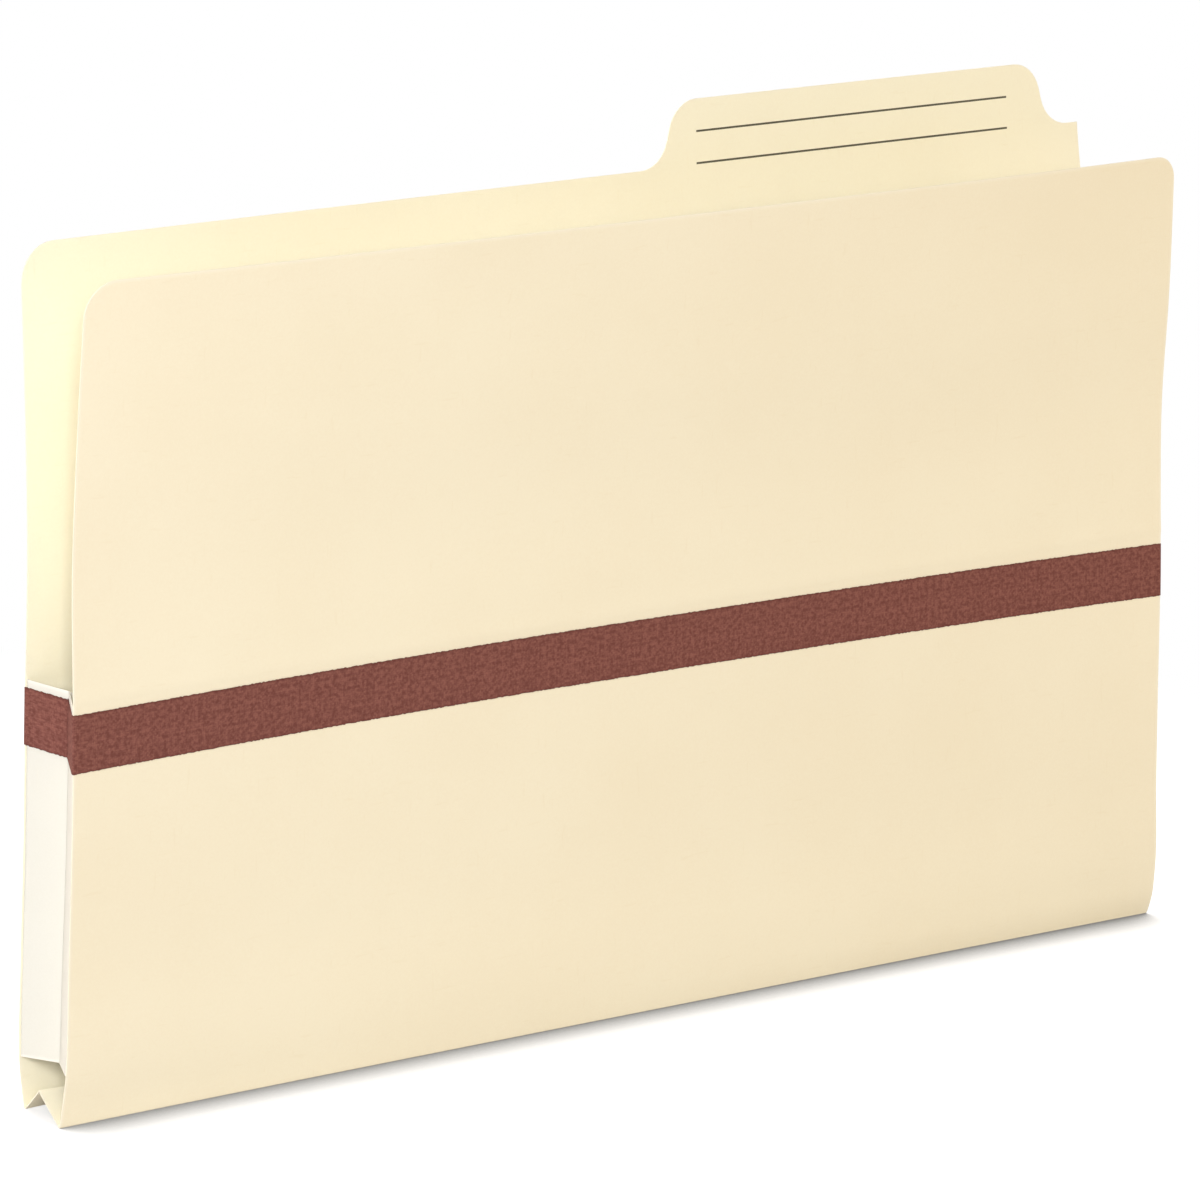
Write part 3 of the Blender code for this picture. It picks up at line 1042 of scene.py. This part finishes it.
def weft_tree():
    """Ribs across a strip, and edges that end unevenly from one yarn to the next."""
    inputs = {"Geometry": "Geometry", "Weft Pitch": "Float", "Rib Height": "Float",
              "Ragged Edge": "Float", "Seed": "Int", "Tape": "Material"}
    tree, given, outlet = new_group("GeometryNodeTree", "weft_ribs", inputs,
                                    {"Geometry": "Geometry"})
    along, across = [add_node(tree, "GeometryNodeInputNamedAttribute", {"Name": name},
                              data_type="FLOAT").outputs["Attribute"]
                     for name in ("along", "across")]
    yarns = calculate(tree, "DIVIDE", along, given["Weft Pitch"])
    wave = calculate(tree, "COSINE", multiply(tree, yarns, 2 * math.pi))
    lift = multiply(tree, wave, given["Rib Height"])
    normal = add_node(tree, "GeometryNodeInputNormal").outputs["Normal"]
    rise = add_node(tree, "ShaderNodeVectorMath", {0: normal, "Scale": lift}, operation="SCALE")
    yarn = add_node(tree, "FunctionNodeFloatToInt", {0: yarns}, rounding_mode="ROUND")
    uneven = add_node(tree, "FunctionNodeRandomValue",
                      {2: -1.0, 3: 1.0, "ID": yarn, "Seed": given["Seed"]}, data_type="FLOAT")
    reach = calculate(tree, "POWER", calculate(tree, "ABSOLUTE", across), RAGGED_FALLOFF)
    reach = multiply(tree, reach, calculate(tree, "SIGN", across))
    ragged = multiply(tree, uneven.outputs[1], given["Ragged Edge"])
    edge_move = add_node(tree, "ShaderNodeCombineXYZ", {"Z": multiply(tree, reach, ragged)})
    total = add_node(tree, "ShaderNodeVectorMath", {0: rise, 1: edge_move}, operation="ADD")
    move = add_node(tree, "GeometryNodeSetPosition",
                    {"Geometry": given["Geometry"], "Offset": total})
    return paint_and_end(tree, outlet, move, given["Tape"])


WEFT_RIBS = weft_tree()
print("geometry tree:", WEFT_RIBS.name)


def set_inputs(modifier, **values):
    """Set a geometry tree's named inputs by their identifiers."""
    named = {item.name.lower().replace(" ", "_"): item.identifier
             for item in modifier.node_group.interface.items_tree if item.in_out == "INPUT"}
    for name, value in values.items():
        modifier[named[name]] = value


def make_tape(name, path_at, end, seed):
    """A strip of tape along a path, with its map, its ribs and its thickness."""
    levels = np.linspace(TAPE_LOW, TAPE_TOP, TAPE_ROWS)
    _, length = resampled(path_at((TAPE_LOW + TAPE_TOP) / 2), 2)
    count = int(length / WEFT_PITCH * COLUMNS_PER_YARN) + 1
    made = grid_object(name, strip_grid(path_at, end, levels, count), WOVEN_TAPE)
    along = np.tile(np.linspace(0.0, length, count), (TAPE_ROWS, 1))
    across = np.tile(np.linspace(-1.0, 1.0, TAPE_ROWS)[:, None], (1, count))
    mesh = made.data
    mark_points(mesh, "along", along)
    mark_points(mesh, "across", across)
    corner = np.zeros(len(mesh.loops), np.int32)
    mesh.loops.foreach_get("vertex_index", corner)
    widths_along = along.reshape(-1)[corner] / TAPE_WIDTH
    strip_map = np.stack([widths_along, across.reshape(-1)[corner] / 2 + 0.5], axis=1)
    map_layer = mesh.uv_layers.new(name="tape_map")
    map_layer.data.foreach_set("uv", strip_map.reshape(-1).astype(np.float32))
    ribs = made.modifiers.new("weft", "NODES")
    ribs.node_group = WEFT_RIBS
    set_inputs(ribs, weft_pitch=WEFT_PITCH, rib_height=RIB_HEIGHT * MM,
               ragged_edge=RAGGED_EDGE * MM, seed=seed, tape=WOVEN_TAPE)
    settle(thicken(made, TAPE))
    report(made, f"{length:.1f} mm long,")
    return made, length


# %% [markdown]
# The tape lies on the card's outer face, turns round the card's cut end, and runs in to the crease
# on each leaf. The stretch on a card and round its ends is one strip, which goes with the card. The
# short stretch on a leaf runs a little past the crease, so that no slit shows when the pocket opens
# wider.

# %% Tape strips
TAPE_ON_CARD = CARD / 2 + GLUE + TAPE / 2
TAPE_ON_PAPER = PAPER / 2 + GLUE + TAPE / 2
TAPE_OVERHANG = 0.25
TAPE_CORNER = 0.6
LEAF_TAPE_LEAD = 0.3
LEAF_TAPE_START = 0.02
FRONT_SEAM_OVERLAP = 0.42
REAR_SEAM_OVERLAP = 0.75
BAND_STOPS = 60
BAND_INSET = 1.0
FIRST_LEAF_SEED = 10


def leaf_tape_line(shape, end, z):
    """Where the tape on a leaf starts, at the card's end, and where it meets the crease."""
    fold, crease, _, outward = leaf_frame(shape, end, z)
    start = fold + outward * TAPE_ON_PAPER
    stop = crease - np.array((TAPE_ON_PAPER / abs(outward[0]), 0.0))
    return start + (stop - start) * LEAF_TAPE_START, stop


def card_end_path(shape, end, z):
    """Round the card's end: from its outer face to the start of the leaf."""
    start, stop = leaf_tape_line(shape, end, z)
    outer = depth_at(shape, end * HALF_WIDTH, z) + shape["side"] * TAPE_ON_CARD
    return np.array((-TAPE_OVERHANG, outer)), start, stop


def band_path(shape, z):
    """The band over a card, as inset from the right end so that it runs left to right."""
    x = np.linspace(BAND_INSET - HALF_WIDTH, HALF_WIDTH - BAND_INSET, BAND_STOPS)
    depth = card_depth(shape, x, np.full_like(x, z)) + shape["side"] * TAPE_ON_CARD
    middle = np.stack([HALF_WIDTH - x, depth], axis=1)
    corner, start, _ = card_end_path(shape, -1.0, z)
    from_left = np.array((-1.0, 1.0))
    flip = np.array((2 * HALF_WIDTH, 0.0))
    left = rounded_path([start * from_left + flip, corner * from_left + flip, middle[0]],
                        TAPE_CORNER)
    corner, start, _ = card_end_path(shape, 1.0, z)
    right = rounded_path([middle[-1], corner, start], TAPE_CORNER)
    return np.vstack([left[:-1], middle, right[1:]])


def leaf_tape_path(shape, end, z):
    corner, start, stop = card_end_path(shape, end, z)
    overlap = REAR_SEAM_OVERLAP if shape["side"] > 0 else FRONT_SEAM_OVERLAP
    lead = start + unit(corner - start) * LEAF_TAPE_LEAD
    past = stop + unit(stop - start) * overlap
    return rounded_path([lead, start, past], LEAF_TAPE_LEAD)


for seed, (half, shape, body) in enumerate(reversed(HALVES)):
    band, length = make_tape(f"{body}_tape_band", lambda z: band_path(shape, z), 1.0, seed)
    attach(band, body)
    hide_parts(f"tape_{body}")
    for number, (end_name, end) in enumerate(ENDS):
        strip, length = make_tape(f"{end_name}_{half}_tape",
                                  lambda z: leaf_tape_path(shape, end, z), end,
                                  FIRST_LEAF_SEED + 2 * seed + number)
        starts = [leaf_tape_line(shape, end, z)[0][1] for z in (TAPE_LOW, TAPE_TOP)]
        blend_in_depth(strip, shape,
                       shape["side"] * np.abs(starts).min())
        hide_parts(f"tape_{end_name}_{half}")

# %% [markdown]
# ## The ruled lines on the tab
# Two plain printed lines leave room for a title. They are laid as a very thin film of ink, because
# a line half a millimetre wide would blur in a baked picture of the whole card. Geometry Nodes
# repeat one line, and each point is then laid on the flap's inner face.

# %% Ruled lines
LINE_LENGTH = 118.4
LINE_WIDTH = 0.55
LINE_SPACING = 8.7
FIRST_LINE_Z = 223.9
LINE_MIDDLE_X = 100.2
LINE_POINTS = 61
INK_FILM = 0.06
INK_DARK = (0.062, 0.060, 0.040, 1.0)
INK_LIGHT = (0.105, 0.098, 0.066, 1.0)
INK_TONES = (0.35, 0.75)
INK_ROUGHNESS = 0.6
INK_FELT_SCALE = 2600.0


def ink_material():
    material, tree, shader = new_material("ruling_ink")
    tone = narrow(tree, add_felt(tree, INK_FELT_SCALE)["Tone"], *INK_TONES)
    colour = blend_colours(tree, tone, INK_DARK, INK_LIGHT)
    feed(shader, {"Base Color": colour, "Roughness": INK_ROUGHNESS})
    return material


def ruling_tree():
    """A few bars of ink, one above the other."""
    inputs = {"Lines": "Int", "Spacing": "Float", "Length": "Float", "Width": "Float",
              "Film": "Float", "Ink": "Material"}
    tree, given, outlet = new_group("GeometryNodeTree", "ruled_lines", inputs,
                                    {"Geometry": "Geometry"})
    step = add_node(tree, "ShaderNodeCombineXYZ", {"Z": given["Spacing"]})
    places = add_node(tree, "GeometryNodeMeshLine", {"Count": given["Lines"], "Offset": step})
    size = add_node(tree, "ShaderNodeCombineXYZ",
                    {"X": given["Length"], "Y": given["Film"], "Z": given["Width"]})
    line = add_node(tree, "GeometryNodeMeshCube", {"Size": size, "Vertices X": LINE_POINTS})
    repeat = add_node(tree, "GeometryNodeInstanceOnPoints", {"Points": places, "Instance": line})
    return paint_and_end(tree, outlet, repeat, given["Ink"])


rules = add_object("tab_ruled_lines", bpy.data.meshes.new("tab_ruled_lines"))
ruling = rules.modifiers.new("ruling", "NODES")
ruling.node_group = ruling_tree()
set_inputs(ruling, lines=2, spacing=LINE_SPACING * MM, length=LINE_LENGTH * MM,
           width=LINE_WIDTH * MM, film=INK_FILM * MM, ink=ink_material())
settle(rules)
points = np.zeros(len(rules.data.vertices) * 3, np.float32)
rules.data.vertices.foreach_get("co", points)
points = points.reshape(-1, 3) / MM
line_x = points[:, 0] + LINE_MIDDLE_X
line_z = points[:, 2] + FIRST_LINE_Z
line_depth = card_depth(BACK_SHAPE, line_x, line_z) - CARD / 2 - INK_FILM / 3 + points[:, 1]
laid = world(line_x, line_depth, line_z).reshape(-1).astype(np.float32)
rules.data.vertices.foreach_set("co", laid)
rules.data.update()
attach(rules, "back_flap")
report(rules)

# %% Finish
bpy.context.view_layer.update()
